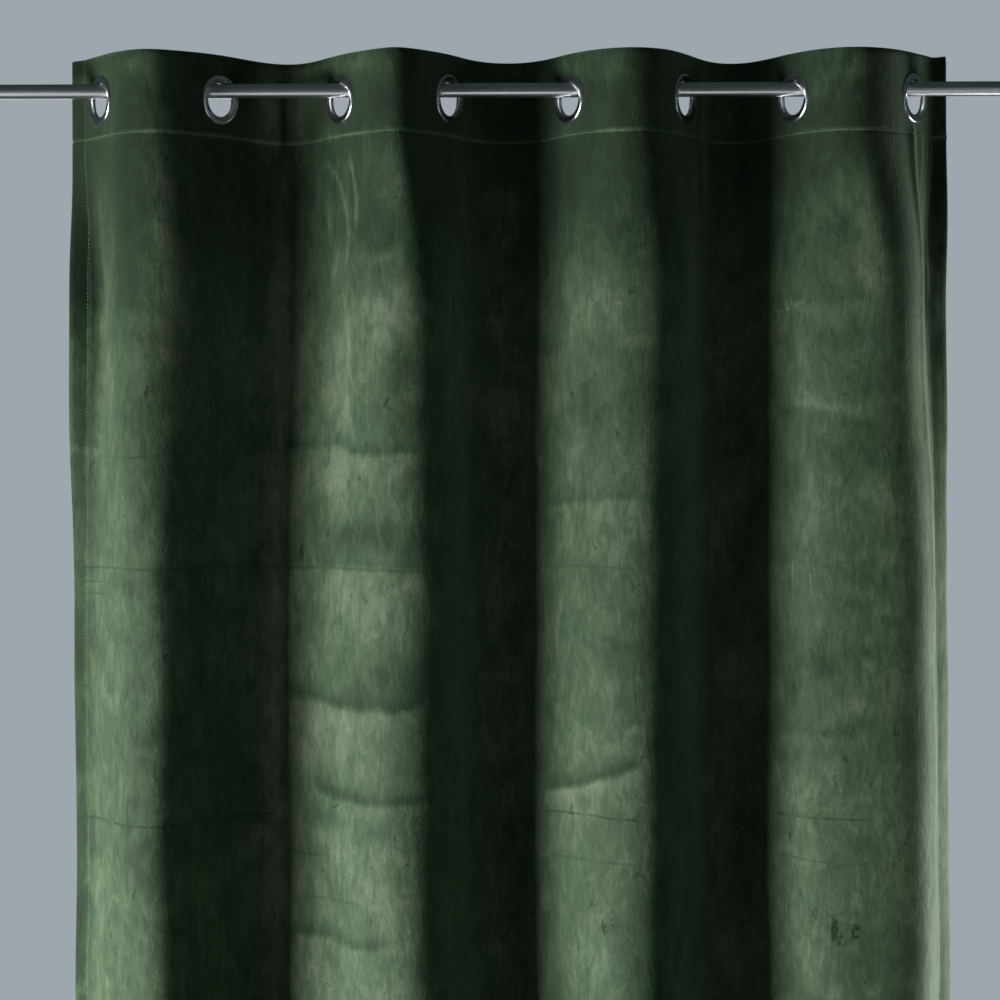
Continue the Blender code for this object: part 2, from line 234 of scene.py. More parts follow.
# Small scuffs, each a short upright rub.
#    seen right, below, half width, pile
SCUFFS = (
    (-384, 328, 3.2, -0.55), (-122, 338, 3.6, -0.50), ( -98, 326, 2.6, -0.35),
    (-156, 762, 2.6, -0.45), (-140, 838, 1.8, -0.45), ( 362, 908, 7.0, -0.90),
    ( 371, 898, 3.0, -0.60), ( 383, 911, 4.6, -0.80), ( 369, 920, 4.0, -0.50),
    ( 393, 964, 2.2, -0.60), ( 340, 956, 1.8, -0.40), ( 112, 904, 3.2, -0.60),
    ( 122, 900, 2.6, -0.50), ( 377, 100, 2.4, -0.40), (  31, 318, 3.0, -0.35),
    (-214, 500, 6.0, -0.50), ( -88, 470, 3.0, -0.45), (-128, 590, 2.4, -0.40),
)
SCUFF_TALLER = 2.6  # how much taller a scuff is than it is wide

# Long soft swells of the cloth: waves across, waves down, height and phase.
#    mm across  mm down  height  phase
SWELLS = (
    (310, 540, 1.3, 0.4),
    (170, 330, 0.9, 2.1),
    (95, 420, 0.5, 4.0),
    (230, 150, 0.5, 5.2),
    (61, 260, 0.3, 1.3),
)

# Soft patches painted paler, or darker if negative: painted light and painted shade on the folds, and
# smudges of the nap.
#    seen right, below, half width, half height, pile
NAP_AND_SHADE_PATCHES = (
    # the left strip, painted darker outside its ridge as painted shade, and the face beside the ridge,
    # painted paler and darker as painted light and shade
    (-452, 120, 14, 150, -1.00), (-454, 400, 12, 120, -0.60), (-456, 640, 10, 110, -0.80),
    (-456, 900, 10, 150, -0.75), (-404, 110, 22, 170, -0.60), (-362,  90, 16, 130,  0.80),
    (-352, 260, 14, 110,  0.45), (-372, 700, 16, 340,  0.35), (-398, 700, 12, 340, -0.15),
    (-440,  40, 14,  60, -0.40), (-390, 380, 22, 100, -0.40), (-388, 700, 20, 240, -0.40),
    # smudges on the heading
    (-250,  10, 16,  52,  1.01), (-218,   6, 14,  56,  0.81), (-452, -14, 16,   8,  0.61),
    (-400, -20, 22,  12,  0.41), (-428, -38, 10,   6, -0.54), (-362,  10, 14,  14, -0.47),
    (-196, -30, 26,   7,  0.81), (-150, -26, 18,  10,  0.47), (-128,  16, 14,  16, -0.47),
    (-186,  44, 12,   9,  0.54), (  66, -24, 20,   9,  0.47), (  98,   6, 12,  16, -0.54),
    ( 128, -14, 16,  10,  0.34), (  70,  44, 14,   8,  0.41), ( 300, -12, 12,  14,  0.41),
    ( 346,   0, 12,  18,  0.34), ( 392, -14, 16,  12,  0.47), ( 330,  46, 12,   8,  0.41),
    # painted light and painted shade on the second lit fold, which brightens slowly from its dark side
    (-237, 150, 15, 100,  0.55), (-241, 640, 15, 400,  0.60), (-106, 130, 15,  90,  0.50),
    (-165,  25, 48,  40, -0.45), (-120, 158, 50,  34, -0.35), (-122, 236, 32,  34,  0.45),
    (-172, 300, 20,  85,  0.35), (-110, 318, 16,  46, -0.40), (-176, 414, 42,  20,  0.45),
    (-150, 484, 62,  17, -0.50), (-152, 562, 55,  36,  0.25), (-130, 640, 58,  24, -0.50),
    (-178, 708, 40,  34,  0.30),
    # painted light and painted shade on the third
    (  82, 100, 50,  95, -0.45), ( 100, 232, 44,  34,  0.35), ( 122, 330, 30,  28, -0.25),
    ( 142, 604, 30,  22, -0.35),
    # painted light and painted shade on the fourth, and painted shade on its dark flank beside the last
    # eyelet
    ( 436,  60, 22, 100, -0.90), ( 372, 112, 34,  30,  0.25), ( 402, 150, 17,  90,  0.80),
    ( 322,  60, 34,  80, -0.50), ( 330, 616, 26,  24, -0.40), ( 352, 634, 12,  22, -0.45),
    ( 378, 400, 30,  40, -0.25), ( 328, 762, 48,  34,  0.30),
)

SWELL_WANDER = 0.9  # how far a swell's waves lean as they run down
SWELL_START = 72.0  # how far down the swells begin
SWELL_RISE = 160.0  # and over what length they grow

HEADING_SHADE = 0.54  # how much darker the heading is painted, as painted shade where less light reaches the top
HEADING_SHADE_REACH = 230.0  # how far below the heading this dies away

# ---- stitching ----
STITCH_PITCH = 4.2
STITCH_LENGTH = 3.1
THREAD_RADIUS = 0.28
THREAD_SIDES = 5
STITCH_RINGS = 5
STITCH_INSET = 3.0  # from the end of the folded-over layer
SEAM_WIDTH = 2.2
SEAM_DEPTH = 0.9
SEAM_PUCKER = 0.35
PUCKER_WAVE = (5.3, 17.0, 41.0)  # millimetres to a radian of the puckers, their drift and swell
PUCKER_DRIFT = 1.7
PUCKER_REACH = 3.0  # in widths of the seam
PALE_WAVE = (31.0, 73.0)  # the same for the paleness along a seam, and its drift
PALE_DRIFT = 2.0
SEAM_PALE_AND_HIGHLIGHT = 0.25  # how much paler the nap is painted along a seam: pressed nap, and a painted highlight where its puckers catch light
HEADING_SEAM_PALE_AND_HIGHLIGHT = 0.65
SEAM_END = 4.0  # how far a seam stays from the ends of its hem
SIDE_SEAM_END = 5.0
THREAD_RISE = 2.2  # how far a stitch bows out of the cloth, in radii of the thread
THREAD_DIVE = 1.1  # and how far its ends lie in it

# ---- metal pieces ----
EYELET_STEPS = 96
EYELET_CLEARANCE = 12.0  # the cloth's relief is back to full this far outside an eyelet
PUNCH_STEPS = 48
PUNCH_DEPTH = 12.0
SHARP_ANGLE = math.radians(50.0)
BEAD_CENTRE = 24.0
BEAD_HEIGHT = 1.7
BEAD_END = 118.0  # degrees round the bead at which the funnel starts
FUNNEL_CENTRE = 22.1
FUNNEL_HEIGHT = 3.0
ARC_STEPS = 10
ROD_STEPS = 96
ROD_EDGE = 1.0
PLUG_RADIUS = 6.6
PLUG_GROOVE = 0.5
PLUG_GROOVE_DEPTH = 0.6


# ---- plan of the folds, as in the CAD ----

def smooth_share(value):
    share = np.clip(value, 0.0, 1.0)
    return share * share * (3.0 - 2.0 * share)


def between_levels(below_rod, values):
    """Blend values given at each level to a height, softly from one level to the next."""
    place = np.interp(below_rod, LEVELS, range(len(LEVELS)))
    index = min(int(place), len(LEVELS) - 2)
    return values[index] + (values[index + 1] - values[index]) * smooth_share(place - index)


def step_lengths(points):
    return np.hypot(*np.diff(points, axis=0).T)


def fold_curve(start, start_dir, end, end_dir, cloth_length, lean):
    """One fold between two straight runs, with handles just long enough to use up the cloth."""
    share = np.linspace(0.0, 1.0, CURVE_SAMPLES + 1)[:, None]
    short, long = 0.0, cloth_length * 2.0
    for _ in range(LENGTH_HALVINGS):
        reach = (short + long) / 2.0
        first = start + start_dir * reach * 2.0 * (1.0 - lean)
        second = end - end_dir * reach * 2.0 * lean
        points = ((1 - share) ** 3 * start + 3 * share * (1 - share) ** 2 * first
                  + 3 * share ** 2 * (1 - share) * second + share ** 3 * end)
        if step_lengths(points).sum() < cloth_length:
            short = reach
        else:
            long = reach
    return points


def side_strip(crossing, direction, run, turn, end_slope):
    """The cloth outside an end crossing, walked outwards from that crossing."""
    outward = math.copysign(1.0, direction[0])
    start_angle = math.atan2(direction[1], direction[0] * outward)
    step = EDGE_MARGIN / STRIP_STEPS
    share = np.clip(((np.arange(STRIP_STEPS) + 0.5) * step - run) / turn, 0.0, 1.0)
    angles = start_angle + (math.radians(end_slope) - start_angle) * share
    steps = np.column_stack((outward * np.cos(angles), np.sin(angles))) * step
    return crossing + np.vstack(((0.0, 0.0), np.cumsum(steps, axis=0)))


def plan_curve(below_rod):
    """Middle line of the cloth seen from above at one height, with the cloth length along it."""
    crossings = np.reshape(CROSSINGS, (EYELET_COUNT, len(LEVELS), 3)).swapaxes(0, 1)
    along_rod, slopes, runs = between_levels(below_rod, crossings).T
    leans = between_levels(below_rod, np.transpose(FOLD_LEANS))
    left, right = (between_levels(below_rod, np.array(rows)) for rows in SIDE_STRIPS)
    # the cloth goes towards the room at the first crossing, and so on by turns
    swings = -(-1.0) ** np.arange(EYELET_COUNT)
    angles = np.radians(slopes)
    directions = np.column_stack((np.cos(angles), swings * np.sin(angles)))
    places = np.column_stack((along_rod, np.zeros(EYELET_COUNT)))
    stretches = [side_strip(places[0], -directions[0], *left)[::-1]]
    for index, lean in enumerate(leans):
        start = places[index] + directions[index] * runs[index]
        end = places[index + 1] - directions[index + 1] * runs[index + 1]
        spare = EYELET_PITCH - runs[index] - runs[index + 1]
        stretches.append(fold_curve(start, directions[index], end, directions[index + 1], spare, lean))
        stretches.append(places[index + 1:index + 2])
    stretches.append(side_strip(places[-1], directions[-1], *right)[1:])
    points = np.concatenate(stretches)
    return points, np.concatenate(([0.0], np.cumsum(step_lengths(points))))


def top_droop(across):
    """How far the cloth sinks at each place, between the eyelets that hold it."""
    share = np.clip((across - EDGE_MARGIN) / EYELET_PITCH, 0.0, EYELET_COUNT - 1)
    return TOP_DROOP * np.sin(np.pi * share) ** 2


def line_at(plan, columns):
    """Middle line and outward normals of the cloth at these distances across."""
    points, along = plan

    def at(places):
        return np.column_stack([np.interp(places, along, axis) for axis in points.T])

    tangent = unit(at(columns + TANGENT_REACH) - at(columns - TANGENT_REACH))
    return at(columns), np.column_stack((tangent[:, 1], -tangent[:, 0]))


def cloth_place(seen_right, below_rod):
    """Across and down of the cloth that the camera sees at a place against the rod's plane."""
    points, along = plan_curve(below_rod)
    seen = points[:, 0] * CAMERA_BACK / (CAMERA_BACK + points[:, 1])
    across = float(np.interp(seen_right, seen, along))
    return across, below_rod + TOP_ABOVE_ROD


# ---- small tools ----

def stations(stretches):
    """Places of mesh lines, from 0, through stretches that each have an end and a largest step."""
    places = [0.0]
    for end, step in stretches:
        start = places[-1]
        count = math.ceil((end - start) / step)
        places += [start + (end - start) * index / count for index in range(1, count + 1)]
    return np.array(places)


def linked(name, data):
    thing = bpy.data.objects.new(name, data)
    bpy.context.scene.collection.objects.link(thing)
    return thing


def add_piece(name, mesh, material):
    piece = linked(name, mesh)
    mesh.materials.append(material)
    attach(piece, "root")
    return piece


def mesh_of(name, places, faces):
    """A smooth-shaded mesh from places in millimetres."""
    mesh = bpy.data.meshes.new(name)
    mesh.from_pydata((np.asarray(places) * MM).tolist(), [], faces)
    mesh.validate()
    mesh.shade_smooth()
    return mesh


def unit(vectors):
    return vectors / np.linalg.norm(vectors, axis=-1, keepdims=True)


def quads_between(first, second):
    """Faces that join each ring of places to the ring beyond it."""
    corners = (first, np.roll(first, -1, axis=-1), np.roll(second, -1, axis=-1), second)
    return np.stack(corners, axis=-1).reshape(-1, 4)


def filled_mesh(name, builder):
    mesh = bpy.data.meshes.new(name)
    builder.to_mesh(mesh)
    builder.free()
    return mesh


# ---- relief of the cloth ----

def distance_to_line(across, down, points):
    """Distance of each place to a broken line, and how far along the line its nearest point is."""
    nearest = np.full(across.shape, np.inf)
    travel = np.zeros(across.shape)
    walked = 0.0
    for start, end in zip(points, points[1:]):
        run = math.dist(start, end)
        right, low = across - start[0], down - start[1]
        step = (end[0] - start[0], end[1] - start[1])
        share = np.clip((right * step[0] + low * step[1]) / run ** 2, 0.0, 1.0)
        gap = np.hypot(right - step[0] * share, low - step[1] * share)
        closer = gap < nearest
        nearest[closer] = gap[closer]
        travel[closer] = (walked + share * run)[closer]
        walked += run
    return nearest, travel, walked


def crease_effect(across, down):
    """Relief in millimetres, and the nap painted along all creases: pressed nap, painted highlight on
    ridges and painted shade in troughs.
    """
    relief, nap_and_painted_light = np.zeros((2, *across.shape))
    for width, height, pile, *seen_places in CREASES:
        points = [cloth_place(*place) for place in seen_places]
        gap, travel, length = distance_to_line(across, down, points)
        fade = min(CREASE_FADE, length / 2.0)
        strength = np.exp(-(gap / width) ** 2)
        strength *= smooth_share(travel / fade) * smooth_share((length - travel) / fade)
        relief += height * strength
        nap_and_painted_light += pile * strength
    return relief, nap_and_painted_light


def swell_effect(across, down):
    relief = np.zeros(across.shape)
    for wide, tall, height, phase in SWELLS:
        lean = SWELL_WANDER * np.sin(math.tau * down / tall + phase * 2.0)
        relief += height * np.sin(math.tau * across / wide + phase + lean)
    return relief * smooth_share((down - SWELL_START) / SWELL_RISE)


def seam_lines():
    """Each seam: name of its stitches, whether it runs across, its place, its start and its end."""
    whole_width = (SEAM_END, CLOTH_WIDTH - SEAM_END)
    below_heading = (HEADING_DEPTH + SEAM_END, CLOTH_DROP - SIDE_SEAM_END)
    return (
        ("stitches_heading", True, HEADING_DEPTH - STITCH_INSET, *whole_width),
        ("stitches_left_hem", False, SIDE_HEM - STITCH_INSET, *below_heading),
        ("stitches_right_hem", False, CLOTH_WIDTH - SIDE_HEM + STITCH_INSET, *below_heading),
        ("stitches_bottom_hem", True, CLOTH_DROP - BOTTOM_HEM + STITCH_INSET, *whole_width),
    )


def seam_effect(across, down):
    """The stitches draw the cloth in and pucker it along each seam; the nap there is painted paler,
    partly as a painted highlight.
    """
    relief, nap_and_painted_light = np.zeros((2, *across.shape))
    for _, runs_across, place, _, _ in seam_lines():
        gap = (down if runs_across else across) - place
        along = across if runs_across else down
        pull = np.exp(-(gap / SEAM_WIDTH) ** 2)
        relief -= SEAM_DEPTH * pull
        short, drift, swell = (along / wave for wave in PUCKER_WAVE)
        pucker = np.sin(short + PUCKER_DRIFT * np.sin(drift)) * np.sin(swell + 1.0)
        relief += SEAM_PUCKER * pucker * np.exp(-(gap / (SEAM_WIDTH * PUCKER_REACH)) ** 2)
        pale = HEADING_SEAM_PALE_AND_HIGHLIGHT if place < HEADING_DEPTH and runs_across else SEAM_PALE_AND_HIGHLIGHT
        short, drift = (along / wave for wave in PALE_WAVE)
        nap_and_painted_light += pale * pull * (1.0 + 0.5 * np.sin(short + PALE_DRIFT * np.sin(drift)))
    return relief, nap_and_painted_light


def light_and_nap_patches(across, down):
    # Painted light and painted shade in soft patches, with some smudges of the nap.
    nap_and_painted_light = np.zeros(across.shape)
    for seen_right, below, half_width, half_height, pile in NAP_AND_SHADE_PATCHES:
        middle, middle_down = cloth_place(seen_right, below)
        side, _ = cloth_place(seen_right + half_width, below)
        reach = max(side - middle, half_width)
        nap_and_painted_light += pile * np.exp(-((across - middle) / reach) ** 2
                             - ((down - middle_down) / half_height) ** 2)
    return nap_and_painted_light


def mark_effect(across, down, marks):
    """Signed gap to the mark that counts most at each place, as a share of its reach, and its pile."""
    gaps = np.ones(across.shape)
    piles = np.zeros(across.shape)
    scores = np.full(across.shape, -np.inf)
    for reach, pile, *seen_places in marks:
        points = np.array([cloth_place(*place) for place in seen_places])
        off_line = down - np.interp(across, points[:, 0], points[:, 1])
        gap = np.clip(off_line / reach, -1.0, 1.0)
        inside = np.minimum(across - points[0, 0], points[-1, 0] - across)
        strength = pile * smooth_share(inside / MARK_FADE) * smooth_share((1.0 - abs(gap)) * MARK_CLOSE)
        score = np.where(strength == 0.0, -abs(off_line), 1.0 + abs(strength))
        better = (score > scores) & (inside > -MARK_MARGIN)
        scores[better] = score[better]
        gaps[better] = gap[better]
        piles[better] = strength[better]
    return gaps, piles


def heading_painted_shade(down):
    """Painted shade: the heading is painted darker, as less light reaches the top; the change dies away
    below it.
    """
    return -HEADING_SHADE * (1.0 - smooth_share((down - HEADING_DEPTH) / HEADING_SHADE_REACH))


def clear_of_eyelets(across, down):
    """0 where an eyelet grips the cloth, rising to 1 just outside it."""
    share = np.ones(across.shape)
    for index in range(EYELET_COUNT):
        centre = EDGE_MARGIN + index * EYELET_PITCH
        radius = np.hypot(across - centre, down - EYELET_DOWN)
        share *= smooth_share((radius - EYELET_RADIUS) / EYELET_CLEARANCE)
    return share


# ---- the velvet ----

class Cloth:
    """The sheet as a grid: its front, its back and its shades at each column and row."""

    def __init__(self):
        self.columns = stations(COLUMN_STRETCHES)
        self.rows = stations(ROW_STRETCHES)
        across, down = np.meshgrid(self.columns, self.rows)
        middle, normal = np.zeros((2, *across.shape, 3))
        for row, below in enumerate(self.rows - TOP_ABOVE_ROD):
            line, outward = line_at(plan_curve(below), self.columns)
            middle[row, :, :2] = line
            middle[row, :, 2] = -below - top_droop(self.columns)
            normal[row, :, :2] = outward
        creases, crease_nap_and_light = crease_effect(across, down)
        seams, seam_nap_and_highlight = seam_effect(across, down)
        relief = (creases + swell_effect(across, down)) * clear_of_eyelets(across, down) + seams
        # the nap attribute carries the pressed nap together with painted light and painted shade
        nap_and_painted_light = crease_nap_and_light + seam_nap_and_highlight + light_and_nap_patches(across, down) + heading_painted_shade(down)
        mark_gap, mark_shade_pile = mark_effect(across, down, FOLD_MARK_SHADES)
        lines = [(LINE_REACH, *line) for line in FOLD_LINE_SHADES]
        line_gap, line_shade_pile = mark_effect(across, down, lines)
        self.shades = {"nap_and_painted_light": nap_and_painted_light, "mark_gap": mark_gap, "mark_shade_pile": mark_shade_pile,
                       "line_gap": line_gap, "line_shade_pile": line_shade_pile}
        thick = self.thickness(across, down)
        self.normal = normal
        self.front = middle + normal * (DOUBLED_THICK / 2.0 + relief)[..., None]
        self.back = self.front - normal * thick[..., None]

    @staticmethod
    def thickness(across, down):
        """Two layers in the heading and hems, one elsewhere, and a short step between."""
        edge = np.minimum(across, CLOTH_WIDTH - across)
        beyond = np.minimum(edge - SIDE_HEM, down - HEADING_DEPTH)
        beyond = np.minimum(beyond, CLOTH_DROP - BOTTOM_HEM - down)
        return DOUBLED_THICK + (CLOTH_THICK - DOUBLED_THICK) * smooth_share(beyond / HEM_STEP)

    def at(self, grid, across, down):
        """A value of the grid between its columns and rows."""
        column = np.clip(np.searchsorted(self.columns, across) - 1, 0, len(self.columns) - 2)
        row = np.clip(np.searchsorted(self.rows, down) - 1, 0, len(self.rows) - 2)
        right = (across - self.columns[column]) / (self.columns[column + 1] - self.columns[column])
        low = (down - self.rows[row]) / (self.rows[row + 1] - self.rows[row])
        right, low = right[:, None], low[:, None]
        upper = grid[row, column] * (1 - right) + grid[row, column + 1] * right
        lower = grid[row + 1, column] * (1 - right) + grid[row + 1, column + 1] * right
        return upper * (1 - low) + lower * low

    def scuffs(self):
        """Place of each scuff on the front in metres, its half width in metres and its pile."""
        found = []
        for seen_right, below, half_width, pile in SCUFFS:
            across, down = cloth_place(seen_right, below)
            spot = self.at(self.front, np.array([across]), np.array([down]))[0] * MM
            found.append((spot.tolist(), half_width * MM, pile))
        return found

    def mesh(self, name):
        """A closed mesh: front grid, back grid, and a rounded edge that joins them."""
        rows, columns = self.front.shape[:2]
        size = rows * columns
        front = self.front.reshape(-1, 3)
        back = self.back.reshape(-1, 3)
        corner = np.arange(size).reshape(rows, columns)
        ring = np.concatenate((corner[0, :-1], corner[:-1, -1], corner[-1, :0:-1], corner[:0:-1, 0]))
        row, column = np.divmod(ring, columns)
        inner = corner[np.clip(row, 1, rows - 2), np.clip(column, 1, columns - 2)]
        outward = unit(front[ring] - front[inner])
        thick = np.linalg.norm(front[ring] - back[ring], axis=1, keepdims=True)
        nose = (front[ring] + back[ring]) / 2.0 + outward * thick * EDGE_NOSE
        places = np.concatenate((front, back, nose))
        grid = np.stack((corner[:-1, :-1], corner[1:, :-1], corner[1:, 1:], corner[:-1, 1:]), axis=-1)
        grid = grid.reshape(-1, 4)
        nose_index = 2 * size + np.arange(len(ring))
        sides = (quads_between(ring, nose_index), quads_between(nose_index, size + ring))
        faces = np.concatenate((grid, size + grid[:, ::-1], *sides))
        mesh = mesh_of(name, places, faces.tolist())
        for shade, grid in self.shades.items():
            flat = grid.ravel()
            behind = np.zeros(size) if shade in FRONT_ONLY else flat
            values = np.concatenate((flat, behind, flat[ring])).astype(np.float32)
            mesh.attributes.new(shade, "FLOAT", "POINT").data.foreach_set("value", values)
        return mesh


def eyelet_placement(index):
    """Placement of an eyelet in metres, square to the cloth."""
    along_rod, slope = CROSSINGS[index][:2]
    turn = math.radians(slope) * (-1.0 if index % 2 == 0 else 1.0)
    centre = Vector((along_rod, 0.0, -EYELET_DROP)) * MM
    return Matrix.LocRotScale(centre, Euler((math.radians(90.0), 0.0, turn)), None)


def hole_punches():
    """The eight round punches as one object, each square to the cloth."""
    builder = bmesh.new()
    for index in range(EYELET_COUNT):
        bmesh.ops.create_cone(builder, cap_ends=True, segments=PUNCH_STEPS, radius1=HOLE_RADIUS * MM,
                              radius2=HOLE_RADIUS * MM, depth=PUNCH_DEPTH * MM,
                              matrix=eyelet_placement(index))
    return linked("punches", filled_mesh("punches", builder))


def punch_holes(piece):
    punches = hole_punches()
    holes = piece.modifiers.new("eyelet_holes", "BOOLEAN")
    holes.operation = "DIFFERENCE"
    holes.object = punches
    bpy.context.view_layer.update()
    shown = piece.evaluated_get(bpy.context.evaluated_depsgraph_get())
    cut = bpy.data.meshes.new_from_object(shown)
    piece.modifiers.clear()
    piece.data = cut
    bpy.data.objects.remove(punches)


def build_velvet(cloth, material):
    piece = add_piece("velvet_panel", cloth.mesh("velvet_panel"), material)
    punch_holes(piece)
    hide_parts("panel")
    return piece


# ---- stitching ----

def stitch_mesh(name, cloth, runs_across, place, start, end):
    """One seam's stitches, front and back: short threads that dive into the cloth at both ends."""
    count = int((end - start) / STITCH_PITCH)
    begins = start + STITCH_PITCH * np.arange(count)
    share = np.linspace(0.0, 1.0, STITCH_RINGS)
    angles = math.tau * np.arange(THREAD_SIDES)[:, None] / THREAD_SIDES
    along = (begins[:, None] + STITCH_LENGTH * share).ravel()
    fixed = np.full(along.shape, place)
    across, down = (along, fixed) if runs_across else (fixed, along)
    lift = np.tile(THREAD_RADIUS * (THREAD_RISE * np.sin(np.pi * share) - THREAD_DIVE), count)
    places = []
    for grid, side in ((cloth.front, 1.0), (cloth.back, -1.0)):
        outward = cloth.at(cloth.normal, across, down) * side
        heart = cloth.at(grid, across, down) + outward * lift[:, None]
        step = unit(np.gradient(heart.reshape(count, STITCH_RINGS, 3), axis=1).reshape(-1, 3))
        sideways = unit(np.cross(step, outward))[:, None]
        upward = np.cross(sideways, step[:, None])
        circle = sideways * np.cos(angles) + upward * np.sin(angles)
        places.append((heart[:, None] + circle * THREAD_RADIUS).reshape(-1, 3))
    places = np.concatenate(places)
    rings = np.arange(len(places)).reshape(2 * count, STITCH_RINGS, THREAD_SIDES)
    faces = quads_between(rings[:, :-1], rings[:, 1:]).tolist()
    faces += rings[:, 0, ::-1].tolist() + rings[:, -1].tolist()
    return mesh_of(name, places, faces)


def build_stitches(cloth, material):
    return [add_piece(name, stitch_mesh(name, cloth, *seam), material)
            for name, *seam in seam_lines()]


# ---- turned metal ----

def turned_piece(name, profile, steps, closed, placement, material, node):
    """A piece whose profile of (radius, height) is turned about Z, then placed."""
    angles = math.tau * np.arange(steps) / steps
    places = [(radius * math.cos(a), radius * math.sin(a), height)
              for radius, height in profile for a in angles]
    rings = np.arange(len(places)).reshape(-1, steps)
    faces = quads_between(rings[:-1], rings[1:]).tolist()
    if closed:
        faces += quads_between(rings[-1], rings[0]).tolist()
    else:
        faces += [rings[0].tolist(), rings[-1].tolist()]
    mesh = mesh_of(name, places, faces)
    face_out(mesh)
    mesh.set_sharp_from_angle(angle=SHARP_ANGLE)
    mesh.transform(placement)
    piece = add_piece(name, mesh, material)
    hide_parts(node)
    return piece


def face_out(mesh):
    builder = bmesh.new()
    builder.from_mesh(mesh)
    bmesh.ops.recalc_face_normals(builder, faces=builder.faces[:])
    builder.to_mesh(mesh)
    builder.free()


def arc(middle, half_width, half_height, start, end):
    """Part of an ellipse as (radius, height) points, between two angles in degrees."""
    angles = np.radians(np.linspace(start, end, ARC_STEPS + 1))
    return [(middle[0] + half_width * math.cos(a), middle[1] + half_height * math.sin(a))
            for a in angles]


def eyelet_section():
    """Section of an eyelet: a rounded bead, a fine line, and a funnel into the bore."""
    bead = arc((BEAD_CENTRE, EYELET_GROOVE), EYELET_RADIUS - BEAD_CENTRE, BEAD_HEIGHT, 0.0, BEAD_END)
    funnel = arc((FUNNEL_CENTRE, 0.0), FUNNEL_CENTRE - BORE_RADIUS, FUNNEL_HEIGHT, 90.0, 180.0)
    upper = [(NECK_RADIUS, EYELET_GROOVE)] + bead + funnel
    return upper + [(radius, -height) for radius, height in reversed(upper[:-1])]


def build_eyelets(material):
    return [turned_piece(f"eyelet_ring_{index + 1}", eyelet_section(), EYELET_STEPS, True,
                         eyelet_placement(index), material, f"eyelet_{index + 1}")
            for index in range(EYELET_COUNT)]


def rod_section():
    """Half section of the rod: a tube with a flush plug pressed into each end."""
    half = ROD_LENGTH / 2.0
    end = [(PLUG_RADIUS - PLUG_GROOVE, half),
           (PLUG_RADIUS - PLUG_GROOVE / 2, half - PLUG_GROOVE_DEPTH), (PLUG_RADIUS, half)]
    end += arc((ROD_RADIUS - ROD_EDGE, half - ROD_EDGE), ROD_EDGE, ROD_EDGE, 90.0, 0.0)
    return end + [(radius, -height) for radius, height in reversed(end)]


def build_rod(material):
    return turned_piece("rod_tube", rod_section(), ROD_STEPS, False,
                        Matrix.Rotation(math.radians(90.0), 4, "Y"), material, "rod")


# ---- materials ----

class Nodes:
    """A material's node tree, with short calls to add and join its nodes."""

    def __init__(self, name):
        self.material = bpy.data.materials.new(name)
        self.material.use_nodes = True
        self.tree = self.material.node_tree
        self.shader = self.tree.nodes["Principled BSDF"]
        self.place = self.add("TexCoord").outputs["Object"]

    def add(self, kind, **settings):
        node = self.tree.nodes.new("ShaderNode" + kind)
        for key, value in settings.items():
            setattr(node, key, value)
        return node

    def join(self, source, target):
        self.tree.links.new(source, target)

    def dress(self, colour, rough=None, normal=None, **values):
        """Join what varies to the shader, set its other sockets (_ is a space), give the material."""
        for source, socket in ((colour, "Base Color"), (rough, "Roughness"), (normal, "Normal")):
            if source is not None:
                self.join(source, self.shader.inputs[socket])
        for key, value in values.items():
            self.shader.inputs[key.replace("_", " ")].default_value = value
        return self.material

    def shade(self, name):
        return self.add("Attribute", attribute_name=name).outputs["Fac"]

    def noise(self, stretch, detail=3.0, roughness=0.55, distortion=0.0, output="Fac"):
        """Noise in the object's own metres; stretch is its cycles a metre along X, Y and Z."""
        mapping = self.add("Mapping")
        mapping.inputs["Scale"].default_value = stretch
        texture = self.add("TexNoise")
        settings = {"Scale": 1.0, "Detail": detail, "Roughness": roughness, "Distortion": distortion}
        for socket, value in settings.items():
            texture.inputs[socket].default_value = value
        self.join(self.place, mapping.inputs["Vector"])
        self.join(mapping.outputs["Vector"], texture.inputs["Vector"])
        return texture.outputs[output]

    def feed(self, node, *terms):
        """Give a node's inputs their sockets or values in order, and return its first output."""
        for target, value in zip(node.inputs, terms):
            if hasattr(value, "links"):
                self.join(value, target)
            else:
                target.default_value = value
        return node.outputs[0]

    def math(self, operation, *terms, clamp=False):
        return self.feed(self.add("Math", operation=operation, use_clamp=clamp), *terms)

    def vector(self, operation, *terms):
        return self.feed(self.add("VectorMath", operation=operation), *terms)

    def stray(self, noise, size):
        """A noise as an offset, up to half this size either way."""
        return self.math("MULTIPLY_ADD", noise, size, -size / 2.0)

    def tent(self, distance, half_width):
        """1 at no distance, falling to 0 at the half width."""
        return self.math("SUBTRACT", 1.0, self.math("DIVIDE", distance, half_width), clamp=True)

    def mix(self, share, first, second):
        node = self.add("Mix", data_type="RGBA")
        for source, socket in ((share, 0), (first, 6), (second, 7)):
            self.join(source, node.inputs[socket])
        return node.outputs[2]

    def ramp(self, factor, stops):
        """A colour ramp through (place, colour or grey) stops."""
        node = self.add("ValToRGB")
        elements = node.color_ramp.elements
        while len(elements) < len(stops):
            elements.new(0.5)
        for element, (place, colour) in zip(elements, stops):
            element.position = place
            element.color = (*(colour if isinstance(colour, tuple) else (colour,) * 3), 1.0)
        self.join(factor, node.inputs["Fac"])
        return node.outputs["Color"]

    def bump(self, height, distance, under=None):
        node = self.add("Bump")
        node.inputs["Distance"].default_value = distance
        self.join(height, node.inputs["Height"])
        if under is not None:
            self.join(under, node.inputs["Normal"])
        return node.outputs["Normal"]


